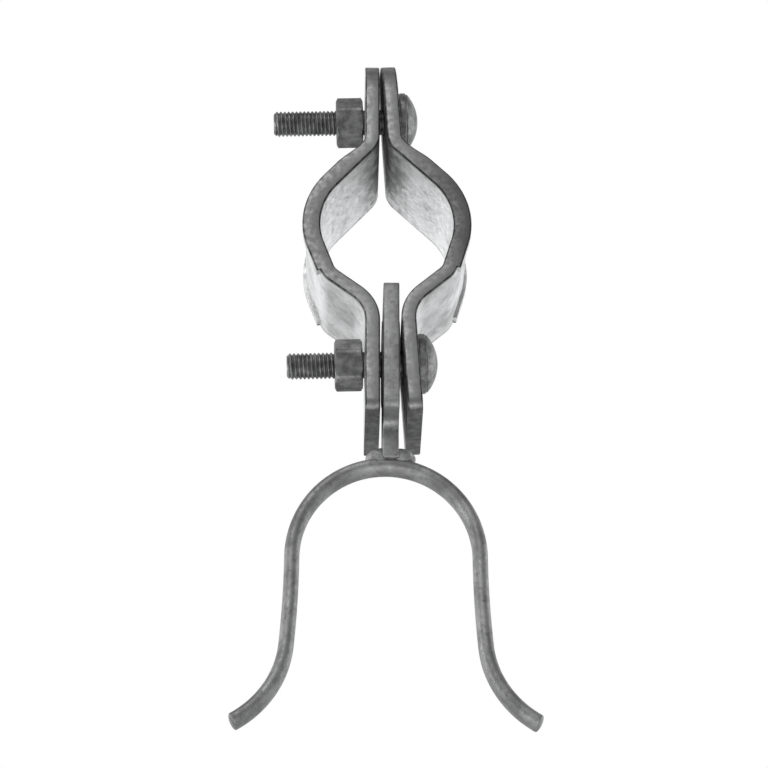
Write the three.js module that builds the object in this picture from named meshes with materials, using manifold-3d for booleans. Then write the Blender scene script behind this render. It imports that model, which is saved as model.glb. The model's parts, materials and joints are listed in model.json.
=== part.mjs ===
// Gate fork latch: two pressed half collars are bolted round a gate's pipe, and a U-shaped
// fork swings on the lower bolt and drops over the gate post.
//
// Units are millimetres. X runs along the bolts, towards their heads. Y runs along the gate
// pipe. Z is up. The origin is the centre of the collar's bore.

import * as THREE from 'three';
import { mergeVertices } from 'three/addons/utils/BufferGeometryUtils.js';
import Module from 'manifold-3d';

const wasm = await Module();
wasm.setup();

// ---------------------------------------------------------------- driving dimensions

const degrees = Math.PI / 180;
const fitGap = 0.3;                 // between fixed neighbours
const arcSegments = 14;             // on each arc of the collar's section

const pipeRadius = 20.65;           // 1-5/8 inch gate pipe
const collarWidth = 35;             // along the pipe
const sheet = 4.5;                  // collar plate thickness
const earInset = 2.45;              // ear's inner face from the pipe's centre plane
const hugAbove = 41 * degrees;      // each half hugs the pipe from this far above its centre
const hugBelow = 20 * degrees;      // to this far below it
const bellyDistance = 22.65;        // pipe's centre to the inner face of the slope below it
const bellySlope = 52 * degrees;    // that slope's normal, below the horizontal
const shoulderBend = 4;             // inner face, where the slope begins
const topBendRadius = 4;            // outer faces, where the ears begin
const lowBendRadius = 10;
const earTop = 65.4;                // its round end is centred on the clamp bolt
const earBottom = 63.5;
const earTopRadius = collarWidth / 2;
const earBottomCorner = 3;
const lipHeight = 1;                // stiffening lip along both edges of the arc
const lipWidth = 3.4;
const lipBelow = 8.5;               // its straight run past the arc, below, to a blunt end
const lipFull = 6.5;                // the same above, at full height
const lipFaded = 15.5;              // where that run has sloped down to the plate
const tipGap = 0.3;                 // the upper ears nearly touch at their tips
const splay = 1.76 * degrees;       // each half's lean, which opens the lower ears
const lean = 1.9 * degrees;         // the whole collar's turn on its pipe

const boltRadius = 4;               // M8 carriage bolts, 40 mm long
const boltLength = 40;
const boltEndChamfer = 0.9;
const headRadius = 9.2;
const headHeight = 5.9;
const headRim = 2.2;
const headSeat = 0.6;               // under the head, because the ear leans
const neckSide = 8.1;
const neckLength = 4.3;
const neckHoleSide = 8.9;
const boltHoleRadius = 4.5;
const clampBoltZ = 48;
const pivotBoltZ = -40;

const nutAcrossFlats = 14.3;
const nutLength = 8.5;
const nutChamfer = 1.0;
const nutBoreRadius = boltRadius + fitGap;
const nutSeat = 0.6;                // the ear leans away from the nut's face
const nutTurns = { clamp: 30 * degrees, pivot: 26 * degrees };

const tongueThickness = 4.8;
const tongueTop = 18.8;             // above the pivot, just under the pipe
const tongueBottom = 22.8;          // below the pivot
const tongueCorner = 2;
const bossRadius = 13.2;
const bossThickness = 5.4;
const pivotBoreRadius = 4.35;
const stemHalfWidth = 5.5;
const shoulderRadius = 3;

const barThickness = 4.5;           // across the bend
const barWidth = 8;                 // along the pipe
const crownCentreZ = -104.3;        // level where the crown's half ellipse meets the arms
const crownHalfWidth = 27.6;
const crownHeight = 29.4;
const armLength = 28;
const armToeOut = 5 * degrees;      // the arms open slightly before the flare
const flareRadius = 30;
const flareEnd = 59 * degrees;      // from vertical, at the tip
const tipStraight = 1;

const weldSize = { x: 4.1, y: 4.1, z: 3.1 };

// ---------------------------------------------------------------- materials

const galvanised = { color: 0xc4c6c6, roughness: 0.55, metalness: 0.85 };
const darkZinc = { color: 0x5e6062, roughness: 0.5, metalness: 0.85 };
const forkSteel = { color: 0x8d8f90, roughness: 0.5, metalness: 0.85 };
const weldMetal = { color: 0x6f7172, roughness: 0.7, metalness: 0.8 };

// ---------------------------------------------------------------- solids and placing

const axisX = new THREE.Vector3(1, 0, 0);
const axisY = new THREE.Vector3(0, 1, 0);
const axisZ = new THREE.Vector3(0, 0, 1);

function solid(geometry) {
  const bare = geometry.clone();
  bare.deleteAttribute('normal');
  bare.deleteAttribute('uv');
  const merged = mergeVertices(bare, 1e-5);
  return new wasm.Manifold(new wasm.Mesh({
    numProp: 3,
    vertProperties: merged.attributes.position.array,
    triVerts: Uint32Array.from(merged.index.array),
  }));
}

function surface(body) {
  const { vertProperties, triVerts } = body.getMesh();
  const geometry = new THREE.BufferGeometry();
  geometry.setAttribute('position', new THREE.BufferAttribute(vertProperties, 3));
  geometry.setIndex(new THREE.BufferAttribute(triVerts, 1));
  geometry.computeVertexNormals();
  return geometry;
}

// An outline drawn in X and Z, centred along Y.
function extrudeAlongY(outline, width, curveSegments) {
  const geometry = new THREE.ExtrudeGeometry(outline, { depth: width, bevelEnabled: false, curveSegments });
  geometry.applyMatrix4(new THREE.Matrix4().makeBasis(axisX, axisZ, axisY.clone().negate()));
  geometry.translate(0, width / 2, 0);
  return geometry;
}

// An outline drawn in Y and Z, centred along X.
function extrudeAlongX(outline, depth, curveSegments) {
  const geometry = new THREE.ExtrudeGeometry(outline, { depth, bevelEnabled: false, curveSegments });
  geometry.applyMatrix4(new THREE.Matrix4().makeBasis(axisY, axisZ, axisX));
  geometry.translate(-depth / 2, 0, 0);
  return geometry;
}

function cylinderAlongX(radius, length, segments) {
  return new THREE.CylinderGeometry(radius, radius, length, segments).rotateZ(-Math.PI / 2);
}

// A profile of [radius, distance along +X] pairs, turned about the X axis.
function turnAboutX(profile, segments) {
  const points = profile.map(([radius, along]) => new THREE.Vector2(radius, along));
  return new THREE.LatheGeometry(points, segments).rotateZ(-Math.PI / 2);
}

function mesh(name, geometry, finish) {
  const piece = new THREE.Mesh(geometry, new THREE.MeshStandardMaterial(finish));
  piece.name = name;
  return piece;
}

// ---------------------------------------------------------------- collar halves

// A point on a straight that leaves a circle about the pipe's centre at an angle.
function onTangent(angle, radius, run) {
  const x = radius * Math.cos(angle) - run * Math.sin(angle);
  const z = radius * Math.sin(angle) + run * Math.cos(angle);
  return [x, z];
}

// Height of the bend between an ear and a straight, from the straight's distance and normal.
function bendHeight(distance, angle, radius) {
  const x = earInset + sheet + radius;
  return (distance + sheet + radius - x * Math.cos(angle)) / Math.sin(angle);
}

// Section of the right half: ear, bend, straight, pipe arc, straight, shoulder, slope, bend, ear.
function collarOutline() {
  const inner = earInset;
  const outer = earInset + sheet;
  const topX = outer + topBendRadius;
  const topZ = bendHeight(pipeRadius, hugAbove, topBendRadius);
  const lowX = outer + lowBendRadius;
  const lowZ = -bendHeight(bellyDistance, bellySlope, lowBendRadius);
  const near = pipeRadius - shoulderBend;
  const far = bellyDistance - shoulderBend;
  const turn = Math.sin(bellySlope - hugBelow);
  const shoulderX = (near * Math.sin(bellySlope) - far * Math.sin(hugBelow)) / turn;
  const shoulderZ = (near * Math.cos(bellySlope) - far * Math.cos(hugBelow)) / turn;
  const outline = new THREE.Shape();
  outline.moveTo(outer, earTop);
  outline.lineTo(inner, earTop);
  outline.absarc(topX, topZ, topBendRadius + sheet, Math.PI, Math.PI + hugAbove, false);
  outline.absarc(0, 0, pipeRadius, hugAbove, -hugBelow, true);
  outline.absarc(shoulderX, shoulderZ, shoulderBend, -hugBelow, -bellySlope, true);
  outline.absarc(lowX, lowZ, lowBendRadius + sheet, Math.PI - bellySlope, Math.PI, false);
  outline.lineTo(inner, -earBottom);
  outline.lineTo(outer, -earBottom);
  outline.absarc(lowX, lowZ, lowBendRadius, Math.PI, Math.PI - bellySlope, true);
  outline.absarc(shoulderX, shoulderZ, shoulderBend + sheet, -bellySlope, -hugBelow, false);
  outline.absarc(0, 0, pipeRadius + sheet, -hugBelow, hugAbove, false);
  outline.absarc(topX, topZ, topBendRadius, Math.PI + hugAbove, Math.PI, true);
  return outline;
}

// The blank's outline in Y and Z, with its rounded ear corners.
function blankOutline() {
  const half = collarWidth / 2;
  const top = earTopRadius;
  const low = earBottomCorner;
  const outline = new THREE.Shape();
  outline.absarc(half - low, low - earBottom, low, -Math.PI / 2, 0, false);
  outline.absarc(half - top, earTop - top, top, 0, Math.PI / 2, false);
  outline.absarc(top - half, earTop - top, top, Math.PI / 2, Math.PI, false);
  outline.absarc(low - half, low - earBottom, low, Math.PI, 1.5 * Math.PI, false);
  return outline;
}

// Follows the arc and the straights past its ends, and slopes down to the plate at its top.
function lipOutline() {
  const crest = pipeRadius + sheet + lipHeight;
  const buried = pipeRadius + sheet / 2;
  const outline = new THREE.Shape();
  outline.moveTo(...onTangent(-hugBelow, buried, -lipBelow));
  outline.lineTo(...onTangent(-hugBelow, crest, -lipBelow));
  outline.absarc(0, 0, crest, -hugBelow, hugAbove, false);
  outline.lineTo(...onTangent(hugAbove, crest, lipFull));
  outline.lineTo(...onTangent(hugAbove, pipeRadius + sheet, lipFaded));
  outline.lineTo(...onTangent(hugAbove, buried, lipFaded));
  outline.absarc(0, 0, buried, hugAbove, -hugBelow, true);
  return outline;
}

// Height on a half's own ear of a bolt that runs level through the collar.
function earHoleZ(boltZ) {
  return (boltZ - (earInset + sheet / 2) * Math.sin(splay)) / Math.cos(splay);
}

function collarHalf(name, holeGeometry) {
  const reach = 2 * (pipeRadius + sheet + lipHeight);
  const earX = earInset + sheet / 2;
  let body = solid(extrudeAlongY(collarOutline(), collarWidth, arcSegments));
  body = body.intersect(solid(extrudeAlongX(blankOutline(), 2 * reach, 12)));
  for (const side of [-1, 1]) {
    const lip = extrudeAlongY(lipOutline(), lipWidth, arcSegments);
    lip.translate(0, side * (collarWidth - lipWidth) / 2, 0);
    body = body.add(solid(lip));
  }
  for (const boltZ of [clampBoltZ, pivotBoltZ]) {
    body = body.subtract(solid(holeGeometry().translate(earX, 0, earHoleZ(boltZ))));
  }
  return mesh(name, surface(body), galvanised);
}

function squareHole() {
  return new THREE.BoxGeometry(3 * sheet, neckHoleSide, neckHoleSide);
}

function roundHole() {
  return cylinderAlongX(boltHoleRadius, 3 * sheet, 28);
}

// ---------------------------------------------------------------- bolts and nuts

// The underside of the head is at X = 0 and the shank runs towards -X.
function carriageBolt(name) {
  const dome = headHeight - headRim;
  const domeRadius = (headRadius ** 2 + dome ** 2) / (2 * dome);
  const domeAngle = Math.asin(headRadius / domeRadius);
  const domeSteps = 6;
  const profile = [
    [0, -boltLength],
    [boltRadius - boltEndChamfer, -boltLength],
    [boltRadius, boltEndChamfer - boltLength],
    [boltRadius, 0],
    [headRadius - 0.5, 0],
    [headRadius, 0.5],
  ];
  for (let step = 0; step <= domeSteps; step += 1) {
    const angle = domeAngle * (1 - step / domeSteps);
    profile.push([domeRadius * Math.sin(angle), headHeight - domeRadius * (1 - Math.cos(angle))]);
  }
  const neck = new THREE.BoxGeometry(neckLength + 1, neckSide, neckSide);
  neck.translate((1 - neckLength) / 2, 0, 0);
  return mesh(name, surface(solid(turnAboutX(profile, 32)).add(solid(neck))), darkZinc);
}

// A hexagon nut centred on the origin, chamfered on both faces.
function hexNut(name) {
  const cornerRadius = nutAcrossFlats / 2 / Math.cos(Math.PI / 6);
  const half = nutLength / 2;
  const faceRadius = nutAcrossFlats / 2 - 0.2;
  const edge = half - nutChamfer * Math.tan(30 * degrees) * (cornerRadius - faceRadius);
  const hexagon = cylinderAlongX(cornerRadius, nutLength, 6);
  const chamfers = turnAboutX([
    [0, -half],
    [faceRadius, -half],
    [cornerRadius + 0.1, -edge],
    [cornerRadius + 0.1, edge],
    [faceRadius, half],
    [0, half],
  ], 48);
  const bore = cylinderAlongX(nutBoreRadius, nutLength + 2, 32);
  const body = solid(hexagon).intersect(solid(chamfers)).subtract(solid(bore));
  return mesh(name, surface(body), darkZinc);
}

// ---------------------------------------------------------------- fork, about its pivot

// In Y and Z: square where it stops the swing against the pipe, round where it passes it.
function tongueOutline() {
  const half = collarWidth / 2;
  const passAngle = Math.acos(half / tongueTop);
  const stemEnd = crownTop() + fitGap;
  const outline = new THREE.Shape();
  outline.moveTo(0, tongueTop);
  outline.lineTo(-half, tongueTop);
  outline.absarc(tongueCorner - half, tongueCorner - tongueBottom, tongueCorner,
    Math.PI, 1.5 * Math.PI, false);
  outline.absarc(-stemHalfWidth - shoulderRadius, -tongueBottom - shoulderRadius, shoulderRadius,
    Math.PI / 2, 0, true);
  outline.lineTo(-stemHalfWidth, stemEnd);
  outline.lineTo(stemHalfWidth, stemEnd);
  outline.absarc(stemHalfWidth + shoulderRadius, -tongueBottom - shoulderRadius, shoulderRadius,
    Math.PI, Math.PI / 2, true);
  outline.absarc(half - tongueCorner, tongueCorner - tongueBottom, tongueCorner, -Math.PI / 2, 0, false);
  outline.absarc(0, 0, tongueTop, passAngle, Math.PI / 2, false);
  return outline;
}

function tongueBody(extra) {
  const plate = solid(extrudeAlongX(tongueOutline(), tongueThickness + extra, 12));
  return plate.add(solid(cylinderAlongX(bossRadius, bossThickness + extra, 56)));
}

function forkTongue() {
  const bore = cylinderAlongX(pivotBoreRadius, 2 * bossThickness, 32);
  return mesh('fork_tongue', surface(tongueBody(0).subtract(solid(bore))), forkSteel);
}

function crownTop() {
  return crownCentreZ + crownHeight + barThickness / 2 - pivot.z;
}

// Centreline of the bar, from the left tip over the crown to the right tip.
class YokeCurve extends THREE.Curve {
  constructor() {
    super();
    const crownArc = Math.PI * Math.sqrt((crownHalfWidth ** 2 + crownHeight ** 2) / 2) / 2;
    const flareArc = flareRadius * (flareEnd - armToeOut);
    this.stretches = [crownArc, armLength, flareArc, tipStraight];
    this.halfLength = this.stretches.reduce((sum, length) => sum + length, 0);
    this.arcLengthDivisions = 800;
  }

  // Place on the right-hand half, by distance from the top of the crown.
  place(distance) {
    const [crownArc, arm, flareArc] = this.stretches;
    const armRadius = arm / armToeOut;
    if (distance < crownArc) {
      const angle = Math.PI / 2 * (1 - distance / crownArc);
      return [crownHalfWidth * Math.cos(angle), crownHeight * Math.sin(angle)];
    }
    const along = distance - crownArc;
    const armTurn = Math.min(along / armRadius, armToeOut);
    const flareTurn = armToeOut + Math.min(Math.max(along - arm, 0) / flareRadius, flareEnd - armToeOut);
    const straight = Math.max(along - arm - flareArc, 0);
    const x = crownHalfWidth + armRadius * (1 - Math.cos(armTurn))
      + flareRadius * (Math.cos(armToeOut) - Math.cos(flareTurn)) + straight * Math.sin(flareEnd);
    const z = -armRadius * Math.sin(armTurn)
      - flareRadius * (Math.sin(flareTurn) - Math.sin(armToeOut)) - straight * Math.cos(flareEnd);
    return [x, z];
  }

  getPoint(t, target = new THREE.Vector3()) {
    const signed = (2 * t - 1) * this.halfLength;
    const [x, z] = this.place(Math.abs(signed));
    return target.set(Math.sign(signed) * x - pivot.x, 0, z + crownCentreZ - pivot.z);
  }
}

function yokeGeometry(extra, steps, sectionSegments) {
  const section = new THREE.Shape();
  section.absellipse(0, 0, barWidth / 2 + extra, barThickness / 2 + extra, 0, 2 * Math.PI, false, 0);
  return new THREE.ExtrudeGeometry(section, {
    steps,
    curveSegments: sectionSegments,
    extrudePath: new YokeCurve(),
    bevelEnabled: false,
  });
}

function weldBead(name, side) {
  const bead = new THREE.SphereGeometry(1, 16, 10);
  bead.scale(weldSize.x, weldSize.y, weldSize.z);
  bead.translate(side * (tongueThickness / 2 + 0.8), 0, crownTop() + 0.4);
  const clear = solid(yokeGeometry(fitGap, 84, 8)).add(tongueBody(2 * fitGap));
  const halfSpace = new THREE.BoxGeometry(20, 20, 20).translate(side * 10, 0, crownTop());
  return mesh(name, surface(solid(bead).intersect(solid(halfSpace)).subtract(clear)), weldMetal);
}

// ---------------------------------------------------------------- assembly

const pivot = new THREE.Vector3(0, 0, pivotBoltZ).applyAxisAngle(axisY, -lean);

// Distance of a leaning ear's inner face from the collar's centre plane, at a height.
function earFaceX(z) {
  return tipGap / 2 + (earTop - z) * Math.tan(splay);
}

const earDepth = sheet / Math.cos(splay);
const halfShift = tipGap / 2 - earInset * Math.cos(splay) + earTop * Math.sin(splay);

const collarRight = collarHalf('collar_half_right', squareHole);
collarRight.position.x = halfShift;
collarRight.rotation.y = -splay;

const collarLeft = collarHalf('collar_half_left', roundHole);
collarLeft.position.x = -halfShift;
collarLeft.rotation.set(0, splay, Math.PI);

const collar = new THREE.Group();
collar.rotation.y = -lean;
collar.add(collarRight, collarLeft);

for (const [role, boltZ] of [['clamp', clampBoltZ], ['pivot', pivotBoltZ]]) {
  const bolt = carriageBolt(`${role}_bolt`);
  bolt.position.set(earFaceX(boltZ) + earDepth + headSeat, 0, boltZ);
  const nut = hexNut(`${role}_nut`);
  nut.position.set(-earFaceX(boltZ) - earDepth - nutSeat - nutLength / 2, 0, boltZ);
  nut.rotation.x = nutTurns[role];
  collar.add(bolt, nut);
}

const fork = new THREE.Group();
fork.position.copy(pivot);
fork.add(
  forkTongue(),
  mesh('fork_yoke', yokeGeometry(0, 84, 8), forkSteel),
  weldBead('tongue_weld_left', -1),
  weldBead('tongue_weld_right', 1),
);

const latch = new THREE.Group();
latch.add(collar, fork);

export default latch;
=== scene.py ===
"""Looks for a gate fork latch: two galvanised half collars bolted round a gate's pipe, and a
steel fork that swings on the lower bolt.

Lengths are metres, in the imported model's own frame: X along the bolts towards their heads,
Y along the gate pipe, Z up, and the origin at the centre of the collar's bore.
"""

import json
import math

import bmesh
import bpy
from mathutils import Matrix, Vector, noise


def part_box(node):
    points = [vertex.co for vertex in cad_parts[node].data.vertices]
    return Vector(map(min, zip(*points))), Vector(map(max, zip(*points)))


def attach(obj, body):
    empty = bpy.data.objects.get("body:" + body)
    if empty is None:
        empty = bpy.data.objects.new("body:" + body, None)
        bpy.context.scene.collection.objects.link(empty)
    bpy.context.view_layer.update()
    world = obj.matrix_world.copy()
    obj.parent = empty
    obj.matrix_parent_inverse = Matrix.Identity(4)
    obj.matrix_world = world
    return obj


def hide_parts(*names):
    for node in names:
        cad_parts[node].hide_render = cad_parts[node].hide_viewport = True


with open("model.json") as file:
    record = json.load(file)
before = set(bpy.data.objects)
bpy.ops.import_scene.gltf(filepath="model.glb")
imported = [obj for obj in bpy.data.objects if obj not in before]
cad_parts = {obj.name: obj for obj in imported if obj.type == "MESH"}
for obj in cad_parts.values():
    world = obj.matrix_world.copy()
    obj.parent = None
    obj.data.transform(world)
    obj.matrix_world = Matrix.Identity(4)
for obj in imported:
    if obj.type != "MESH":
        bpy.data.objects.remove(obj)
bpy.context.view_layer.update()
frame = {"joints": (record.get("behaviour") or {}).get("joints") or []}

MM = 0.001
TURN = 2 * math.pi
QUARTER = math.pi / 2
joints = {joint["name"]: joint for joint in frame["joints"]}

# ---------------------------------------------------------------- places, from the frame

PIVOT = Vector(joints["fork_swing"]["pos_m"])
BOLT_AXIS = Vector(joints["fork_swing"]["axis"]).normalized()
LEAN = math.atan2(BOLT_AXIS.z, BOLT_AXIS.x)
COLLAR = Matrix.Rotation(-LEAN, 4, "Y")
TO_COLLAR = COLLAR.inverted()

PIVOT_BOLT_Z = (TO_COLLAR @ PIVOT).z
CLAMP_NUT = TO_COLLAR @ Vector(joints["clamp_nut_turn"]["pos_m"])
PIVOT_NUT = TO_COLLAR @ Vector(joints["pivot_nut_turn"]["pos_m"])
CLAMP_BOLT_Z = CLAMP_NUT.z
COLLAR_HALF_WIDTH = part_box("collar_half_right")[1].y

# ---------------------------------------------------------------- shapes that a box doesn't give

PIPE_RADIUS = 20.65 * MM
SHEET = 4.5 * MM
EAR_INSET = 2.45 * MM
HUG_ABOVE = math.radians(41)
HUG_BELOW = math.radians(20)
BELLY_DISTANCE = 22.65 * MM
BELLY_SLOPE = math.radians(52)
SHOULDER_BEND = 4 * MM
TOP_BEND_RADIUS = 4 * MM
LOW_BEND_RADIUS = 10 * MM
EAR_TOP = 65.4 * MM
EAR_BOTTOM = 63.5 * MM
EAR_TOP_RADIUS = 17.5 * MM
EAR_BOTTOM_CORNER = 3 * MM
EDGE_ROUND = 0.5 * MM
LIP_HEIGHT = 1 * MM
LIP_WIDTH = 3.4 * MM
LIP_BELOW = 8.5 * MM
LIP_FULL = 6.5 * MM
LIP_FADED = 15.5 * MM
TIP_GAP = 0.3 * MM
SPLAY = math.radians(1.76)

BOLT_RADIUS = 4 * MM
BOLT_LENGTH = 40 * MM
THREAD_PITCH = 1.25 * MM
THREAD_DEPTH = 0.55 * MM
THREAD_LENGTH = 23 * MM
THREAD_RUNOUT = 1.5 * THREAD_PITCH
THREAD_ROOT_SHARE = 0.08
THREAD_CREST_SHARE = 0.2
SHANK_BEFORE_THREAD = 2 * MM
BOLT_CHAMFER = 0.9 * MM
BOLT_END_STEP = 0.35 * MM
BOLT_END_HOLLOW = 0.15 * MM
BOLT_END_FLAT_RADIUS = 1.6 * MM
HEAD_RADIUS = 9.2 * MM
HEAD_HEIGHT = 5.9 * MM
HEAD_RIM = 2.2 * MM
HEAD_RIM_ROUND = 0.5 * MM
HEAD_SEAT = 0.6 * MM
NECK_HALF = 4.05 * MM
NECK_CORNER_REACH = 5.3 * MM
NECK_LENGTH = 4.3 * MM
NECK_TAPER = 0.6 * MM
NECK_HOLE = 8.9 * MM
BOLT_HOLE_RADIUS = 4.5 * MM

NUT_FLATS = 14.3 * MM
NUT_LENGTH = 8.5 * MM
NUT_CORNER_TRIM = 0.3 * MM
NUT_FACE_TRIM = 0.15 * MM
NUT_CHAMFER = math.radians(30)
NUT_CLEARANCE = 0.08 * MM
COUNTERSINK_WIDTH = 0.7 * MM
COUNTERSINK_DEPTH = 0.5 * MM
CLAMP_NUT_TURN = math.radians(30)
PIVOT_NUT_TURN = math.radians(26)

TONGUE_THICKNESS = 4.8 * MM
TONGUE_TOP = 18.8 * MM
TONGUE_BOTTOM = 22.8 * MM
TONGUE_CORNER = 2 * MM
TONGUE_EDGE_ROUND = 0.45 * MM
BOSS_RADIUS = 13.2 * MM
BOSS_THICKNESS = 5.4 * MM
PIVOT_BORE_RADIUS = 4.35 * MM
STEM_HALF_WIDTH = 5.5 * MM
STEM_SINK = 1.2 * MM
SHOULDER_RADIUS = 3 * MM

BAR_THICKNESS = 4.5 * MM
BAR_WIDTH = 8 * MM
BAR_SQUARENESS = 2.3
CROWN_CENTRE_Z = -104.3 * MM
CROWN_HALF_WIDTH = 27.6 * MM
CROWN_HEIGHT = 29.4 * MM
CROWN_LENGTH = QUARTER * math.sqrt((CROWN_HALF_WIDTH**2 + CROWN_HEIGHT**2) / 2)
CROWN_TOP = CROWN_CENTRE_Z + CROWN_HEIGHT + BAR_THICKNESS / 2 - PIVOT.z
ARM_LENGTH = 28 * MM
ARM_TOE_OUT = math.radians(5)
FLARE_RADIUS = 30 * MM
FLARE_END = math.radians(59)
FLARE_LENGTH = FLARE_RADIUS * (FLARE_END - ARM_TOE_OUT)
TIP_STRAIGHT = 1 * MM
TIP_ROUND = 0.8 * MM
HALF_BAR_LENGTH = CROWN_LENGTH + ARM_LENGTH + FLARE_LENGTH + TIP_STRAIGHT

BEAD_SIZE = Vector((4.3, 4.6, 3.0)) * MM
BEAD_OFFSET = 0.7 * MM
BEAD_RISE = 0.2 * MM
BEAD_RIPPLE = 0.035
BEAD_RIPPLES = 9
BEAD_LUMP = 0.06

# ---------------------------------------------------------------- mesh helpers

WELD_DISTANCE = 1e-7


def add_object(name, data):
    obj = bpy.data.objects.new(name, data)
    bpy.context.scene.collection.objects.link(obj)
    return obj


def mesh_object(name, points, faces):
    mesh = bpy.data.meshes.new(name)
    mesh.from_pydata([tuple(point) for point in points], [], faces)
    return add_object(name, mesh)


def clean(obj):
    """Welds doubled points, drops faces with no area and turns every face outwards."""
    mesh = bmesh.new()
    mesh.from_mesh(obj.data)
    bmesh.ops.remove_doubles(mesh, verts=mesh.verts, dist=WELD_DISTANCE)
    bmesh.ops.dissolve_degenerate(mesh, edges=mesh.edges, dist=WELD_DISTANCE)
    bmesh.ops.recalc_face_normals(mesh, faces=mesh.faces)
    mesh.to_mesh(obj.data)
    mesh.free()
    return obj


def band(count, row, next_row):
    """The faces between two rings of count points, where the rings are numbered by row."""
    low, high = row * count, next_row * count
    pairs = [(i, (i + 1) % count) for i in range(count)]
    return [(low + i, low + j, high + j, high + i) for i, j in pairs]


def loft(name, rings, edge_columns=()):
    """A closed skin over rings of equally many points, with a flat face on each end ring.
    The faces in edge_columns go in material slot 1, for mark_edges."""
    count = len(rings[0])
    points = [point for ring in rings for point in ring]
    faces = []
    for row in range(len(rings) - 1):
        faces += band(count, row, row + 1)
    last = (len(rings) - 1) * count
    faces.append(tuple(reversed(range(count))))
    faces.append(tuple(range(last, last + count)))
    obj = mesh_object(name, points, faces)
    if edge_columns:
        for _ in range(2):
            obj.data.materials.append(None)
        for face in obj.data.polygons[:-2]:
            face.material_index = int(face.index % count in edge_columns)
    return clean(obj)


def plate(name, outline, thickness):
    """A plate with an outline of (y, z) points, centred on the plane X = 0."""
    rings = [[Vector((x, y, z)) for y, z in outline] for x in (-thickness / 2, thickness / 2)]
    return loft(name, rings)


def cylinder_along_x(name, radius, length, segments=96):
    angles = [TURN * i / segments for i in range(segments)]
    rings = [
        [Vector((x, radius * math.cos(a), radius * math.sin(a))) for a in angles]
        for x in (-length / 2, length / 2)
    ]
    return loft(name, rings)


def arc(centre, radius, start, end, steps):
    """Points of an arc, both ends included."""
    angles = [start + (end - start) * i / steps for i in range(steps + 1)]
    return [(centre[0] + radius * math.cos(a), centre[1] + radius * math.sin(a)) for a in angles]


def apply_modifiers(obj):
    evaluated = obj.evaluated_get(bpy.context.evaluated_depsgraph_get())
    mesh = bpy.data.meshes.new_from_object(evaluated)
    obj.modifiers.clear()
    obj.data = mesh
    return obj


def combine(obj, other, operation):
    """Cuts other from obj or joins it on, and removes other."""
    modifier = obj.modifiers.new("combine", "BOOLEAN")
    modifier.operation = operation
    modifier.solver = "EXACT"
    modifier.object = other
    bpy.context.view_layer.update()
    apply_modifiers(obj)
    bpy.data.objects.remove(other)


def round_edges(obj, width):
    modifier = obj.modifiers.new("round", "BEVEL")
    modifier.width = width
    modifier.segments = 3
    modifier.limit_method = "ANGLE"
    modifier.angle_limit = math.radians(35)
    bpy.context.view_layer.update()
    return apply_modifiers(obj)


def face_attribute(obj, name, values):
    obj.data.attributes.new(name, "FLOAT", "FACE").data.foreach_set("value", values)


def mark_edges(obj):
    """Turns material slot 1 into the face attribute "edge"."""
    edge = [float(face.material_index) for face in obj.data.polygons]
    face_attribute(obj, "edge", edge)
    obj.data.polygons.foreach_set("material_index", [0] * len(edge))
    obj.data.materials.clear()


def settle(obj, matrix, material, body, node, sharp=30):
    """Puts a finished piece in place, gives it its material and hands it to its body."""
    obj.data.transform(matrix)
    obj.data.materials.clear()
    obj.data.materials.append(material)
    obj.data.polygons.foreach_set("use_smooth", [True] * len(obj.data.polygons))
    obj.data.set_sharp_from_angle(angle=math.radians(sharp))
    obj.data.update()
    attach(obj, body)
    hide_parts(node)


# ---------------------------------------------------------------- collar halves

BEND_STEPS = 16
EAR_STEPS = 6
CORNER_STEPS = 3
# How much painted shade an ear's end face takes where it faces straight up or down.
EAR_END_SHADE = 0.65
# Of the columns of faces that collar_ring gives, those in its four rounded corners.
EDGE_COLUMNS = {first + step for first in (5, 9, 21, 25) for step in range(CORNER_STEPS)}


def bend_height(distance, angle, radius):
    """Height of a bend's centre, where the bend joins an ear to a straight. The straight lies at
    a distance from the bore's centre, and its normal is at an angle to the X axis."""
    x = EAR_INSET + SHEET + radius
    return (distance + SHEET + radius - x * math.cos(angle)) / math.sin(angle)


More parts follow.
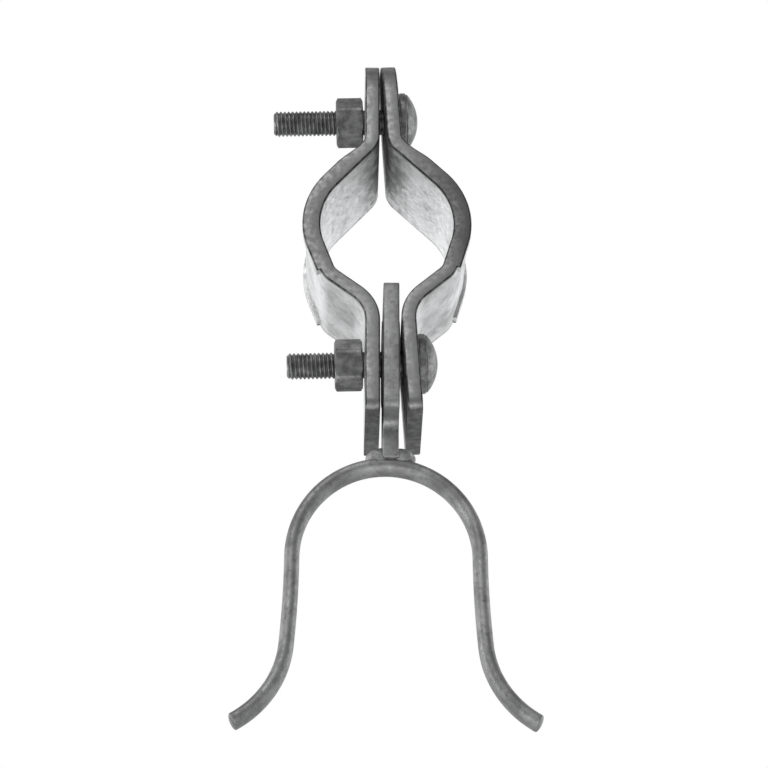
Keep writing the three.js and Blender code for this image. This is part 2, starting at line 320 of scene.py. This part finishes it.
def collar_stations():
    """Along the right half's inner face, from its top to its bottom: point, outward normal,
    half width and lip height."""

    def direction(angle):
        return Vector((math.cos(angle), 0, math.sin(angle)))

    def ear(end, corner, bend_z, sign):
        rows = []
        for i in range(BEND_STEPS + 1):
            angle = QUARTER * (1 - i / BEND_STEPS)
            z = end - corner + corner * math.sin(angle)
            width = COLLAR_HALF_WIDTH - corner + corner * math.cos(angle)
            rows.append((Vector((EAR_INSET, 0, sign * z)), Vector((1, 0, 0)), width, 0))
        for i in range(1, EAR_STEPS):
            z = end - corner + (bend_z - end + corner) * i / EAR_STEPS
            rows.append((Vector((EAR_INSET, 0, sign * z)), Vector((1, 0, 0)), COLLAR_HALF_WIDTH, 0))
        return rows

    def bend(bend_z, radius, turn, sign):
        centre = Vector((EAR_INSET + SHEET + radius, 0, sign * bend_z))
        rows = []
        for i in range(BEND_STEPS + 1):
            out = direction(math.pi + turn * i / BEND_STEPS)
            out.z *= sign
            rows.append((centre + (radius + SHEET) * out, -out, COLLAR_HALF_WIDTH, 0))
        return rows

    def round_centre(centre, radius, start, end, steps, lip):
        rows = []
        for i in range(steps + 1):
            out = direction(start + (end - start) * i / steps)
            rows.append((centre + radius * out, out, COLLAR_HALF_WIDTH, lip))
        return rows

    def straight(angle, start, end, steps, lip):
        out = direction(angle)
        along = Vector((-out.z, 0, out.x))
        rows = []
        for i in range(steps + 1):
            run = start + (end - start) * i / steps
            rows.append((PIPE_RADIUS * out + run * along, out, COLLAR_HALF_WIDTH, lip(i / steps)))
        return rows

    def rising_lip(share):
        return LIP_HEIGHT * share * share * (3 - 2 * share)

    def full_lip(share):
        return LIP_HEIGHT

    top_z = bend_height(PIPE_RADIUS, HUG_ABOVE, TOP_BEND_RADIUS)
    low_z = bend_height(BELLY_DISTANCE, BELLY_SLOPE, LOW_BEND_RADIUS)
    near, far = PIPE_RADIUS - SHOULDER_BEND, BELLY_DISTANCE - SHOULDER_BEND
    turn = math.sin(BELLY_SLOPE - HUG_BELOW)
    shoulder_x = (near * math.sin(BELLY_SLOPE) - far * math.sin(HUG_BELOW)) / turn
    shoulder_z = (near * math.cos(BELLY_SLOPE) - far * math.cos(HUG_BELOW)) / turn
    shoulder = Vector((shoulder_x, 0, shoulder_z))

    stations = ear(EAR_TOP, EAR_TOP_RADIUS, top_z, 1)
    stations += bend(top_z, TOP_BEND_RADIUS, HUG_ABOVE, 1)
    stations += straight(HUG_ABOVE, LIP_FADED, LIP_FULL, 8, rising_lip)
    stations += round_centre(Vector(), PIPE_RADIUS, HUG_ABOVE, -HUG_BELOW, 48, LIP_HEIGHT)
    stations += straight(-HUG_BELOW, -LIP_BELOW / 4, -LIP_BELOW, 3, full_lip)
    stations += round_centre(shoulder, SHOULDER_BEND, -HUG_BELOW, -BELLY_SLOPE, 12, 0)
    stations += reversed(bend(low_z, LOW_BEND_RADIUS, BELLY_SLOPE, -1))
    stations += reversed(ear(EAR_BOTTOM, EAR_BOTTOM_CORNER, low_z, -1))
    return stations


def collar_ring(point, normal, width, lip):
    """The plate's section at one station, as a ring of points round it. The lip's width and the
    rounding of the edges shrink with the width at the tip of an ear."""
    top = SHEET + lip
    shoulder = max(width - LIP_WIDTH, width / 2)
    radius = min(EDGE_ROUND, 0.4 * width)
    inner = arc((width - radius, radius), radius, -QUARTER, 0, CORNER_STEPS)
    outer = arc((width - radius, top - radius), radius, 0, QUARTER, CORNER_STEPS)
    across = [-1, -0.6, -0.2, 0.2, 0.6, 1]
    half = [(width - radius, 0), *inner[1:], *outer, (shoulder, top)]
    section = [((width - radius) * t, 0) for t in across[:-1]] + half
    section += [(shoulder * t, SHEET) for t in reversed(across)]
    section += [(-y, depth) for y, depth in reversed(half[1:])]
    return [point + normal * depth + Vector((0, y, 0)) for y, depth in section]


def ear_hole_z(bolt_z):
    """A bolt's height, measured along the leaning ear."""
    return (bolt_z - (EAR_INSET + SHEET / 2) * math.sin(SPLAY)) / math.cos(SPLAY)


def collar_half(name, hole, rim_shade_amount, bore_shine):
    """A right half, upright, with its tones as face attributes: edge for painted shade on the
    rounded corners and ear ends, cut on the sheared faces, soot for how much painted shade those
    take by the bore, and shine for a painted highlight on the inner face."""
    obj = loft(name, [collar_ring(*station) for station in collar_stations()], EDGE_COLUMNS)
    for bolt_z in (CLAMP_BOLT_Z, PIVOT_BOLT_Z):
        cutter = hole()
        cutter.data.transform(Matrix.Translation((EAR_INSET + SHEET / 2, 0, ear_hole_z(bolt_z))))
        combine(obj, cutter, "DIFFERENCE")
    mark_edges(clean(obj))
    rim = COLLAR_HALF_WIDTH - EDGE_ROUND
    cut, shine = [], []
    edge = obj.data.attributes["edge"].data
    for face, on_edge in zip(obj.data.polygons, edge):
        on_rim = abs(face.normal.y) > 0.1 and abs(face.center.y) > rim
        on_ear_rim = abs(face.normal.x) < 0.5 and abs(face.center.z) > 2 * PIPE_RADIUS
        cut.append(float(on_rim or on_ear_rim))
        shine.append(bore_shine * (face.normal.x < -0.2 and not on_rim))
        # The ear end faces take painted shade through the edge attribute.
        if on_ear_rim:
            on_edge.value = max(on_edge.value, EAR_END_SHADE * abs(face.normal.z))
    face_attribute(obj, "cut", cut)
    face_attribute(obj, "shine", shine)
    face_attribute(obj, "rim_shade", [rim_shade_amount * share for share in cut])
    return obj


def square_hole():
    half = NECK_HOLE / 2
    return plate("hole", [(-half, -half), (half, -half), (half, half), (-half, half)], 3 * SHEET)


def round_hole():
    return cylinder_along_x("hole", BOLT_HOLE_RADIUS, 3 * SHEET, 64)


# ---------------------------------------------------------------- bolts and nuts

DOME_STEPS = 18
DOME_START_SHARE = 0.02
DOME_SHARE = 0.92
RIM_STEPS = 4
THREAD_RINGS_PER_TURN = 14


def neck_radius(angle):
    """Of the bolt's square neck, whose corners are cut off round."""
    return min(NECK_HALF / max(abs(math.cos(angle)), abs(math.sin(angle))), NECK_CORNER_REACH)


def thread_height(x, angle):
    """0 in the root of the thread about +X, 1 on its crest."""
    phase = (x / THREAD_PITCH - angle / TURN) % 1
    ramp = 1 - abs(2 * phase - 1)
    flank_share = 1 - THREAD_CREST_SHARE - THREAD_ROOT_SHARE
    return min(max((ramp - THREAD_ROOT_SHARE) / flank_share, 0), 1)


def carriage_bolt(name, segments=72):
    """The head's underside is at X = 0, and the shank runs towards -X."""
    angles = [TURN * i / segments for i in range(segments)]
    rings = []

    def ring(x, radius_at):
        radii = [radius_at(a) for a in angles]
        rings.append([Vector((x, r * math.cos(a), r * math.sin(a))) for a, r in zip(angles, radii)])

    def turned(x, radius):
        ring(x, lambda angle: radius)

    dome = HEAD_HEIGHT - HEAD_RIM
    dome_radius = (HEAD_RADIUS**2 + dome**2) / (2 * dome)
    dome_angle = math.asin(HEAD_RADIUS / dome_radius)
    for i in range(DOME_STEPS + 1):
        angle = dome_angle * (DOME_START_SHARE + DOME_SHARE * i / DOME_STEPS)
        turned(HEAD_HEIGHT - dome_radius * (1 - math.cos(angle)), dome_radius * math.sin(angle))
    rounding = [QUARTER * i / RIM_STEPS for i in range(RIM_STEPS + 1)]
    drops = [
        (HEAD_RIM_ROUND * (1 - math.cos(angle)), HEAD_RIM_ROUND * (1 - math.sin(angle)))
        for angle in rounding
    ]
    for down, inward in drops:
        turned(HEAD_RIM - down, HEAD_RADIUS - inward)
    for inward, up in drops:
        turned(up, HEAD_RADIUS - inward)
    for x in (0, -NECK_LENGTH + NECK_TAPER):
        ring(x, neck_radius)
    turned(-NECK_LENGTH, BOLT_RADIUS)
    thread_start = THREAD_LENGTH - BOLT_LENGTH
    turned(thread_start + SHANK_BEFORE_THREAD, BOLT_RADIUS)
    steps = int(THREAD_LENGTH / THREAD_PITCH * THREAD_RINGS_PER_TURN)
    for i in range(steps + 1):
        x = thread_start - THREAD_LENGTH * i / steps
        runout = min((thread_start - x) / THREAD_RUNOUT, 1)
        chamfer = BOLT_RADIUS - BOLT_CHAMFER + (x + BOLT_LENGTH)

        def radius(angle, x=x, runout=runout, chamfer=chamfer):
            cut = THREAD_DEPTH * runout * (1 - thread_height(x, angle))
            return min(BOLT_RADIUS - cut, chamfer)

        ring(x, radius)
    turned(-BOLT_LENGTH, BOLT_RADIUS - BOLT_CHAMFER - BOLT_END_STEP)
    turned(-BOLT_LENGTH + BOLT_END_HOLLOW, BOLT_END_FLAT_RADIUS)
    return loft(name, rings)


def hex_nut(name, segments=144):
    """Centred on the origin with its axis along X."""
    half = NUT_LENGTH / 2
    flats = NUT_FLATS / 2
    half_side = math.pi / 6
    corner = flats / math.cos(half_side) - NUT_CORNER_TRIM
    face_radius = flats - NUT_FACE_TRIM
    bore = BOLT_RADIUS + NUT_CLEARANCE
    angles = [TURN * i / segments for i in range(segments)]

    def hexagon(angle):
        off_flat = (angle + half_side) % (math.pi / 3) - half_side
        return min(flats / math.cos(off_flat), corner)

    def face_ring(side, radius, inset=0.0):
        x = side * (half - inset)
        return [Vector((x, radius * math.cos(a), radius * math.sin(a))) for a in angles]

    def chamfer_ring(side):
        ring = []
        for a in angles:
            radius = hexagon(a)
            drop = (radius - face_radius) * math.tan(NUT_CHAMFER)
            x = side * (half - drop)
            ring.append(Vector((x, radius * math.cos(a), radius * math.sin(a))))
        return ring

    def mid_ring(share):
        low, high = chamfer_ring(-1), chamfer_ring(1)
        return [a.lerp(b, share) for a, b in zip(low, high)]

    countersink = bore + COUNTERSINK_WIDTH
    rings = [
        face_ring(-1, bore, COUNTERSINK_DEPTH),
        face_ring(-1, countersink),
        face_ring(-1, face_radius),
        *[mid_ring(share) for share in (0, 0.25, 0.5, 0.75, 1)],
        face_ring(1, face_radius),
        face_ring(1, countersink),
        face_ring(1, bore, COUNTERSINK_DEPTH),
    ]
    points = [point for ring in rings for point in ring]
    faces = []
    for row in range(len(rings)):
        faces += band(segments, row, (row + 1) % len(rings))
    return clean(mesh_object(name, points, faces))


# ---------------------------------------------------------------- fork


def tongue_outline():
    """Points (y, z) about the pivot, from the square corner above, down the one side, round the
    stem and up the other side to the round top."""
    half, stem = COLLAR_HALF_WIDTH, STEM_HALF_WIDTH
    passing = math.acos(half / TONGUE_TOP)
    corner, shoulder = TONGUE_CORNER, SHOULDER_RADIUS
    corner_z, shoulder_z = corner - TONGUE_BOTTOM, -TONGUE_BOTTOM - shoulder
    stem_end = CROWN_TOP - STEM_SINK
    outline = [(-half, TONGUE_TOP)]
    outline += arc((corner - half, corner_z), corner, math.pi, 3 * QUARTER, 6)
    outline += arc((-stem - shoulder, shoulder_z), shoulder, QUARTER, 0, 8)
    outline += [(-stem, stem_end), (stem, stem_end)]
    outline += arc((stem + shoulder, shoulder_z), shoulder, math.pi, QUARTER, 8)
    outline += arc((half - corner, corner_z), corner, -QUARTER, 0, 6)
    outline += arc((0, 0), TONGUE_TOP, passing, QUARTER, 20)
    return outline


def fork_tongue(name):
    obj = round_edges(plate(name, tongue_outline(), TONGUE_THICKNESS), TONGUE_EDGE_ROUND)
    combine(obj, cylinder_along_x("boss", BOSS_RADIUS, BOSS_THICKNESS), "UNION")
    combine(obj, cylinder_along_x("bore", PIVOT_BORE_RADIUS, 2 * BOSS_THICKNESS), "DIFFERENCE")
    return clean(obj)


def yoke_place(distance):
    """Centreline of the right-hand half of the bar, by distance from the top of the crown:
    offset from the crown's centre, and unit direction along the bar."""
    arm_radius = ARM_LENGTH / ARM_TOE_OUT
    if distance < CROWN_LENGTH:
        angle = QUARTER * (1 - distance / CROWN_LENGTH)
        offset = Vector((CROWN_HALF_WIDTH * math.cos(angle), 0, CROWN_HEIGHT * math.sin(angle)))
        along = Vector((CROWN_HALF_WIDTH * math.sin(angle), 0, -CROWN_HEIGHT * math.cos(angle)))
        return offset, along.normalized()
    run = distance - CROWN_LENGTH
    arm_turn = min(run / arm_radius, ARM_TOE_OUT)
    turn = ARM_TOE_OUT + min(max(run - ARM_LENGTH, 0) / FLARE_RADIUS, FLARE_END - ARM_TOE_OUT)
    straight = max(run - ARM_LENGTH - FLARE_LENGTH, 0)
    x = CROWN_HALF_WIDTH + arm_radius * (1 - math.cos(arm_turn))
    x += FLARE_RADIUS * (math.cos(ARM_TOE_OUT) - math.cos(turn)) + straight * math.sin(FLARE_END)
    z = -arm_radius * math.sin(arm_turn)
    z -= FLARE_RADIUS * (math.sin(turn) - math.sin(ARM_TOE_OUT)) + straight * math.cos(FLARE_END)
    heading = arm_turn if run < ARM_LENGTH else turn
    return Vector((x, 0, z)), Vector((math.sin(heading), 0, -math.cos(heading)))


def superellipse(angle):
    """Radius of a unit circle that is squared off a little."""
    power = BAR_SQUARENESS
    return (abs(math.cos(angle)) ** power + abs(math.sin(angle)) ** power) ** (-1 / power)


def fork_yoke(name, sides=32, steps=260):
    """The bar, from its left tip to its right one. The stations crowd towards the tips."""
    rings = []
    for i in range(steps + 1):
        signed = HALF_BAR_LENGTH * math.sin(QUARTER * (2 * i / steps - 1))
        side = -1 if signed < 0 else 1
        offset, along = yoke_place(abs(signed))
        across = Vector((-along.z, 0, along.x))
        centre = Vector((side * offset.x, 0, offset.z + CROWN_CENTRE_Z))
        across.x *= side
        to_tip = HALF_BAR_LENGTH - abs(signed)
        closing = math.sqrt(max(1 - (1 - min(to_tip / TIP_ROUND, 1)) ** 2, 0.0004))
        ring = []
        for k in range(sides):
            angle = TURN * k / sides
            reach = superellipse(angle) * closing
            wide = BAR_WIDTH / 2 * reach * math.cos(angle)
            thick = BAR_THICKNESS / 2 * reach * math.sin(angle)
            ring.append(centre + across * thick + Vector((0, wide, 0)))
        rings.append(ring)
    return loft(name, rings)


def weld_bead(name, side, rows=28, columns=48):
    """A rippled fillet in the corner between the tongue's stem and the crown."""
    centre_x = PIVOT.x + side * (TONGUE_THICKNESS / 2 + BEAD_OFFSET)
    centre = Vector((centre_x, 0, PIVOT.z + CROWN_TOP + BEAD_RISE))
    rings = []
    for row in range(1, rows):
        polar = math.pi * row / rows
        ring = []
        for column in range(columns):
            turn = TURN * column / columns
            reach = math.sin(polar)
            out = Vector((reach * math.cos(turn), math.cos(polar), reach * math.sin(turn)))
            ripple = 1 + BEAD_RIPPLE * math.cos(BEAD_RIPPLES * out.y + 1.2 * out.x * side)
            lump = 1 + BEAD_LUMP * noise.noise(out * 2.1 + Vector((side * 3.1, 0, 0)))
            ring.append(centre + out * BEAD_SIZE * ripple * lump)
        rings.append(ring)
    return loft(name, rings)


# ---------------------------------------------------------------- materials


class Graph:
    """A material's node tree, with short calls to add and link nodes."""

    def __init__(self, name):
        self.material = bpy.data.materials.new(name)
        self.material.use_nodes = True
        self.tree = self.material.node_tree
        self.tree.nodes.clear()
        output = self.node("ShaderNodeOutputMaterial")
        self.shader = self.node("ShaderNodeBsdfPrincipled")
        self.link(self.shader.outputs["BSDF"], output.inputs["Surface"])
        coordinates = self.node("ShaderNodeTexCoord")
        scale = self.node("ShaderNodeMapping")
        scale.inputs["Scale"].default_value = (1 / MM,) * 3
        self.link(coordinates.outputs["Object"], scale.inputs["Vector"])
        self.millimetres = scale.outputs["Vector"]

    def node(self, kind, **settings):
        made = self.tree.nodes.new(kind)
        for key, value in settings.items():
            setattr(made, key, value)
        return made

    def link(self, source, target):
        self.tree.links.new(source, target)

    def noise(self, scale, detail=4.0, roughness=0.55):
        made = self.node("ShaderNodeTexNoise")
        made.inputs["Scale"].default_value = scale
        made.inputs["Detail"].default_value = detail
        made.inputs["Roughness"].default_value = roughness
        self.link(self.millimetres, made.inputs["Vector"])
        return made.outputs["Fac"]

    def cells(self, scale, coordinates):
        """A tone for each crystal of the zinc."""
        made = self.node("ShaderNodeTexVoronoi")
        made.inputs["Scale"].default_value = scale
        self.link(coordinates, made.inputs["Vector"])
        channels = self.node("ShaderNodeSeparateColor")
        self.link(made.outputs["Color"], channels.inputs["Color"])
        return channels.outputs["Red"]

    def wobbled(self, scale, amount):
        """The millimetre coordinates, pushed about by a noise."""
        made = self.node("ShaderNodeTexNoise")
        made.inputs["Scale"].default_value = scale
        self.link(self.millimetres, made.inputs["Vector"])
        push = self.node("ShaderNodeVectorMath", operation="MULTIPLY_ADD")
        push.inputs[1].default_value = (amount,) * 3
        self.link(made.outputs["Color"], push.inputs[0])
        self.link(self.millimetres, push.inputs[2])
        return push.outputs["Vector"]

    def attribute(self, name):
        return self.node("ShaderNodeAttribute", attribute_name=name).outputs["Fac"]

    def ramp(self, value, low, high, start=0.0, end=1.0):
        """value goes from start to end while it runs from low to high."""
        made = self.node("ShaderNodeMapRange", interpolation_type="SMOOTHSTEP")
        made.inputs["From Min"].default_value = low
        made.inputs["From Max"].default_value = high
        made.inputs["To Min"].default_value = start
        made.inputs["To Max"].default_value = end
        self.link(value, made.inputs["Value"])
        return made.outputs["Result"]

    def distance(self, axis, place):
        """In millimetres, along an axis, from a place on it."""
        split = self.node("ShaderNodeSeparateXYZ")
        self.link(self.millimetres, split.inputs["Vector"])
        return self.maths("ABSOLUTE", self.maths("SUBTRACT", split.outputs[axis], place))

    def near_height(self, height, full, gone):
        """1 within some millimetres of a height, fading to 0 farther off."""
        return self.ramp(self.distance("Z", height), full, gone, 1.0, 0.0)

    def maths(self, operation, *values):
        made = self.node("ShaderNodeMath", operation=operation)
        for socket, value in zip(made.inputs, values):
            if isinstance(value, (int, float)):
                socket.default_value = value
            else:
                self.link(value, socket)
        return made.outputs["Value"]

    def mix(self, share, first, second):
        """A colour mix; first and second are colours or sockets. The node has a set of sockets
        for each kind of value, so those for colours go by number."""
        made = self.node("ShaderNodeMix", data_type="RGBA")
        self.link(share, made.inputs["Factor"])
        for socket, value in zip((made.inputs[6], made.inputs[7]), (first, second)):
            if isinstance(value, tuple):
                socket.default_value = (*value, 1)
            else:
                self.link(value, socket)
        return made.outputs[2]

    def bump(self, height, strength, distance, below=None):
        made = self.node("ShaderNodeBump")
        made.inputs["Strength"].default_value = strength
        made.inputs["Distance"].default_value = distance
        self.link(height, made.inputs["Height"])
        if below is not None:
            self.link(below, made.inputs["Normal"])
        return made.outputs["Normal"]

    def finish(self, colour, roughness, normal, metallic=0.9):
        self.shader.inputs["Metallic"].default_value = metallic
        self.link(colour, self.shader.inputs["Base Color"])
        self.link(roughness, self.shader.inputs["Roughness"])
        self.link(normal, self.shader.inputs["Normal"])
        return self.material


# Tones of the plate, in millimetres, some of them painted light and shade. A reach is how far up
# and down a tone is full, and where it is gone. The reach of the painted shade on the rims is
# measured from its own height, the others from the bore's centre.
BORE_HIGHLIGHT_REACH = (21, 33)
BORE_REACH = (19, 27)
RIM_SHADE_HEIGHT = 4
RIM_SHADE_REACH = (8, 26)
# The painted shade band beside the sheared edges: across the plate, where it starts and where it is
# full.
RIM_BAND_SHADE = (15.9, 17.2)


def grey(value):
    return (value, value, value)


def galvanised_plate():
    graph = Graph("galvanised_plate")
    # Zinc: broad clouds, then crystals, then stains.
    cloud = graph.noise(0.09, 6, 0.62)
    colour = graph.mix(graph.ramp(cloud, 0.36, 0.66), grey(0.46), grey(0.74))
    grain = graph.cells(0.34, graph.wobbled(0.8, 1.6))
    colour = graph.mix(graph.ramp(grain, 0.0, 1.0, 0.0, 0.35), colour, grey(0.86))
    stain = graph.ramp(graph.noise(0.35, 8, 0.7), 0.56, 0.72, 0.0, 0.75)
    colour = graph.mix(stain, colour, grey(0.27))
    # Inside: a painted highlight on the bore, a few darker patches, and darker streaks towards the
    # ears.
    lit = graph.near_height(0, *BORE_HIGHLIGHT_REACH)
    shine = graph.maths("MULTIPLY", graph.attribute("shine"), lit)
    colour = graph.mix(shine, colour, grey(0.95))
    inside = graph.ramp(graph.attribute("shine"), 0.1, 0.4)
    patches = graph.ramp(graph.noise(0.17, 7, 0.7), 0.5, 0.68, 0.0, 0.45)
    colour = graph.mix(graph.maths("MULTIPLY", inside, patches), colour, grey(0.34))
    off_bore = graph.maths("SUBTRACT", inside, graph.near_height(0, *BORE_REACH))
    inside_ear = graph.maths("MAXIMUM", off_bore, 0.0)
    streaks = graph.ramp(graph.noise(0.22, 6, 0.65), 0.4, 0.6, 0.25, 0.8)
    colour = graph.mix(graph.maths("MULTIPLY", inside_ear, streaks), colour, grey(0.2))
    # Sheared edges: a painted shade band beside them, dull steel on them, painted shade on them by
    # the bore, and painted shade on the rounded corners and ear ends.
    rim_band_shade = graph.ramp(graph.distance("Y", 0.0), *RIM_BAND_SHADE, 0.0, 0.65)
    colour = graph.mix(rim_band_shade, colour, grey(0.2))
    patchy = graph.ramp(graph.noise(0.5, 6), 0.3, 0.7, 0.75, 1.0)
    cut = graph.maths("MULTIPLY", graph.attribute("cut"), patchy)
    colour = graph.mix(cut, colour, grey(0.25))
    # Painted shade on the sheared rims, fading away from the bore's height; the right half takes
    # more.
    rim_shade_zone = graph.near_height(RIM_SHADE_HEIGHT, *RIM_SHADE_REACH)
    rim_shade = graph.maths("MULTIPLY", graph.attribute("rim_shade"), rim_shade_zone)
    colour = graph.mix(rim_shade, colour, grey(0.09))
    # Painted shade on the rounded corners and ear ends, broken up by noise.
    corner_shade_breakup = graph.ramp(graph.noise(0.4, 5), 0.35, 0.6, 0.45, 0.9)
    corner_shade = graph.maths("MULTIPLY", graph.attribute("edge"), corner_shade_breakup)
    colour = graph.mix(corner_shade, colour, grey(0.03))
    rough = graph.ramp(graph.noise(0.7, 5), 0.3, 0.7, 0.36, 0.62)
    relief = graph.bump(graph.noise(0.45, 3), 0.35, 0.12 * MM)
    relief = graph.bump(graph.noise(3.5, 6, 0.7), 0.3, 0.05 * MM, relief)
    return graph.finish(colour, rough, relief)


def dark_zinc():
    graph = Graph("zinc_fasteners")
    cloud = graph.noise(0.3, 6, 0.6)
    colour = graph.mix(graph.ramp(cloud, 0.35, 0.68), grey(0.13), grey(0.28))
    specks = graph.ramp(graph.noise(1.6, 8, 0.75), 0.58, 0.7, 0.0, 0.6)
    colour = graph.mix(specks, colour, grey(0.4))
    rough = graph.ramp(graph.noise(1.1, 5), 0.3, 0.7, 0.36, 0.58)
    relief = graph.bump(graph.noise(4.5, 5, 0.7), 0.3, 0.05 * MM)
    return graph.finish(colour, rough, relief, 0.85)


def fork_steel():
    graph = Graph("fork_steel")
    cloud = graph.noise(0.12, 6, 0.6)
    colour = graph.mix(graph.ramp(cloud, 0.35, 0.65), grey(0.22), grey(0.36))
    stain = graph.ramp(graph.noise(0.6, 8, 0.7), 0.52, 0.68, 0.0, 0.6)
    colour = graph.mix(stain, colour, grey(0.13))
    rough = graph.ramp(graph.noise(0.8, 5), 0.3, 0.7, 0.48, 0.66)
    relief = graph.bump(graph.noise(0.5, 3), 0.35, 0.14 * MM)
    relief = graph.bump(graph.noise(3.0, 6, 0.7), 0.35, 0.06 * MM, relief)
    return graph.finish(colour, rough, relief)


def weld_metal():
    graph = Graph("weld_metal")
    colour = graph.mix(graph.ramp(graph.noise(0.5, 6), 0.35, 0.65), grey(0.26), grey(0.42))
    rough = graph.ramp(graph.noise(1.5, 5), 0.3, 0.7, 0.5, 0.8)
    relief = graph.bump(graph.noise(1.8, 6, 0.7), 0.5, 0.12 * MM)
    return graph.finish(colour, rough, relief, 0.8)


# ---------------------------------------------------------------- camera, lights, floor

VIEW_ELEVATION = math.radians(-28)
VIEW_AZIMUTH = math.radians(-1.1)
VIEW_DISTANCE = 0.8
VIEW_FIELD = 232.7 * MM
AIM = Vector((-0.6 * MM, 0, -46.7 * MM))
SENSOR = 36
FLOOR_LEVEL = -1.2
FLOOR_REACH = 12


def make_camera():
    data = bpy.data.cameras.new("camera")
    data.sensor_width = SENSOR
    data.lens = SENSOR * VIEW_DISTANCE / VIEW_FIELD
    data.clip_start = 0.05
    data.clip_end = 100
    camera = add_object("camera", data)
    back = Vector((0, -math.cos(VIEW_ELEVATION), math.sin(VIEW_ELEVATION)))
    back.rotate(Matrix.Rotation(VIEW_AZIMUTH, 3, "Z"))
    camera.location = AIM + VIEW_DISTANCE * back
    camera.rotation_euler = (math.pi / 2 - VIEW_ELEVATION, 0, VIEW_AZIMUTH)
    bpy.context.scene.camera = camera


def softbox(name, place, size, power):
    data = bpy.data.lights.new(name, "AREA")
    data.shape = "SQUARE"
    data.size = size
    data.energy = power
    light = add_object(name, data)
    light.location = place
    light.rotation_euler = (AIM - Vector(place)).to_track_quat("-Z", "Y").to_euler()
    light.visible_camera = False


def make_world():
    """White where the camera looks past the part. As light, the world is brighter behind it."""
    world = bpy.data.worlds.new("studio")
    bpy.context.scene.world = world
    world.use_nodes = True
    nodes, links = world.node_tree.nodes, world.node_tree.links
    nodes.clear()
    output = nodes.new("ShaderNodeOutputWorld")
    pick = nodes.new("ShaderNodeMixShader")
    rays = nodes.new("ShaderNodeLightPath")
    fill = nodes.new("ShaderNodeBackground")
    fill.inputs["Color"].default_value = (0.98, 0.99, 1.0, 1)
    direction = nodes.new("ShaderNodeTexCoord")
    split = nodes.new("ShaderNodeSeparateXYZ")
    backdrop = nodes.new("ShaderNodeMapRange")
    backdrop.interpolation_type = "SMOOTHSTEP"
    limits = {"From Min": -0.1, "From Max": 0.85, "To Min": 0.3, "To Max": 1.15}
    for socket, value in limits.items():
        backdrop.inputs[socket].default_value = value
    links.new(direction.outputs["Generated"], split.inputs["Vector"])
    links.new(split.outputs["Y"], backdrop.inputs["Value"])
    links.new(backdrop.outputs["Result"], fill.inputs["Strength"])
    seen = nodes.new("ShaderNodeBackground")
    seen.inputs["Color"].default_value = (1, 1, 1, 1)
    seen.inputs["Strength"].default_value = 1.0
    links.new(rays.outputs["Is Camera Ray"], pick.inputs["Fac"])
    links.new(fill.outputs["Background"], pick.inputs[1])
    links.new(seen.outputs["Background"], pick.inputs[2])
    links.new(pick.outputs["Shader"], output.inputs["Surface"])


def make_floor():
    """A plain pale floor, well below the part, which hangs from its gate pipe."""
    signs = [(-1, -1), (1, -1), (1, 1), (-1, 1)]
    corners = [(x * FLOOR_REACH, y * FLOOR_REACH, FLOOR_LEVEL) for x, y in signs]
    floor = mesh_object("floor", corners, [(0, 1, 2, 3)])
    graph = Graph("floor")
    tone = graph.mix(graph.ramp(graph.noise(0.004, 4), 0.3, 0.7), grey(0.86), grey(0.9))
    graph.shader.inputs["Roughness"].default_value = 0.9
    graph.link(tone, graph.shader.inputs["Base Color"])
    floor.data.materials.append(graph.material)


make_camera()
make_world()
make_floor()
softbox("front", (-0.45, -1.0, 0.75), size=1.0, power=7.5)
softbox("under", (-0.1, -0.2, -1.0), size=0.9, power=4)
softbox("left", (-1.1, 0.1, -0.1), size=0.8, power=5)
softbox("right", (1.1, 0.3, 0.1), size=0.8, power=3)
bpy.context.scene.view_settings.view_transform = "Standard"

# ---------------------------------------------------------------- the pieces

plate_zinc = galvanised_plate()
bolt_zinc = dark_zinc()
bar_zinc = fork_steel()
bead_zinc = weld_metal()


def ear_face_x(z):
    """From the collar's centre plane to a leaning ear's inner face, at a height."""
    return TIP_GAP / 2 + (EAR_TOP - z) * math.tan(SPLAY)


half_shift = TIP_GAP / 2 - EAR_INSET * math.cos(SPLAY) + EAR_TOP * math.sin(SPLAY)
right_place = COLLAR @ Matrix.Translation((half_shift, 0, 0)) @ Matrix.Rotation(-SPLAY, 4, "Y")
left_place = COLLAR @ Matrix.Translation((-half_shift, 0, 0)) @ Matrix.Rotation(SPLAY, 4, "Y")
left_place = left_place @ Matrix.Rotation(math.pi, 4, "Z")

# The right half takes more painted shade on its rims and a brighter painted highlight in its bore.
right = collar_half("collar_half_right_skin", square_hole, rim_shade_amount=0.75, bore_shine=0.9)
settle(right, right_place, plate_zinc, "collar_right", "collar_half_right")
left = collar_half("collar_half_left_skin", round_hole, rim_shade_amount=0.25, bore_shine=0.5)
settle(left, left_place, plate_zinc, "collar_left", "collar_half_left")

for role, height in (("clamp", CLAMP_BOLT_Z), ("pivot", PIVOT_BOLT_Z)):
    head_x = ear_face_x(height) + SHEET / math.cos(SPLAY) + HEAD_SEAT
    bolt = carriage_bolt(f"{role}_bolt_threaded")
    place = COLLAR @ Matrix.Translation((head_x, 0, height))
    settle(bolt, place, bolt_zinc, "collar_right", f"{role}_bolt")

nuts = (("clamp", CLAMP_NUT, CLAMP_NUT_TURN), ("pivot", PIVOT_NUT, PIVOT_NUT_TURN))
for role, seat, turn in nuts:
    nut = hex_nut(f"{role}_nut_chamfered")
    place = COLLAR @ Matrix.Translation(seat) @ Matrix.Rotation(turn, 4, "X")
    settle(nut, place, bolt_zinc, f"{role}_nut", f"{role}_nut")

tongue = fork_tongue("fork_tongue_plate")
settle(tongue, Matrix.Translation(PIVOT), bar_zinc, "fork", "fork_tongue")
yoke = fork_yoke("fork_yoke_bar")
settle(yoke, Matrix.Identity(4), bar_zinc, "fork", "fork_yoke", sharp=60)
for label, side in (("left", -1), ("right", 1)):
    bead = weld_bead(f"tongue_weld_{label}_bead", side)
    node = f"tongue_weld_{label}"
    settle(bead, Matrix.Identity(4), bead_zinc, "fork", node, sharp=60)
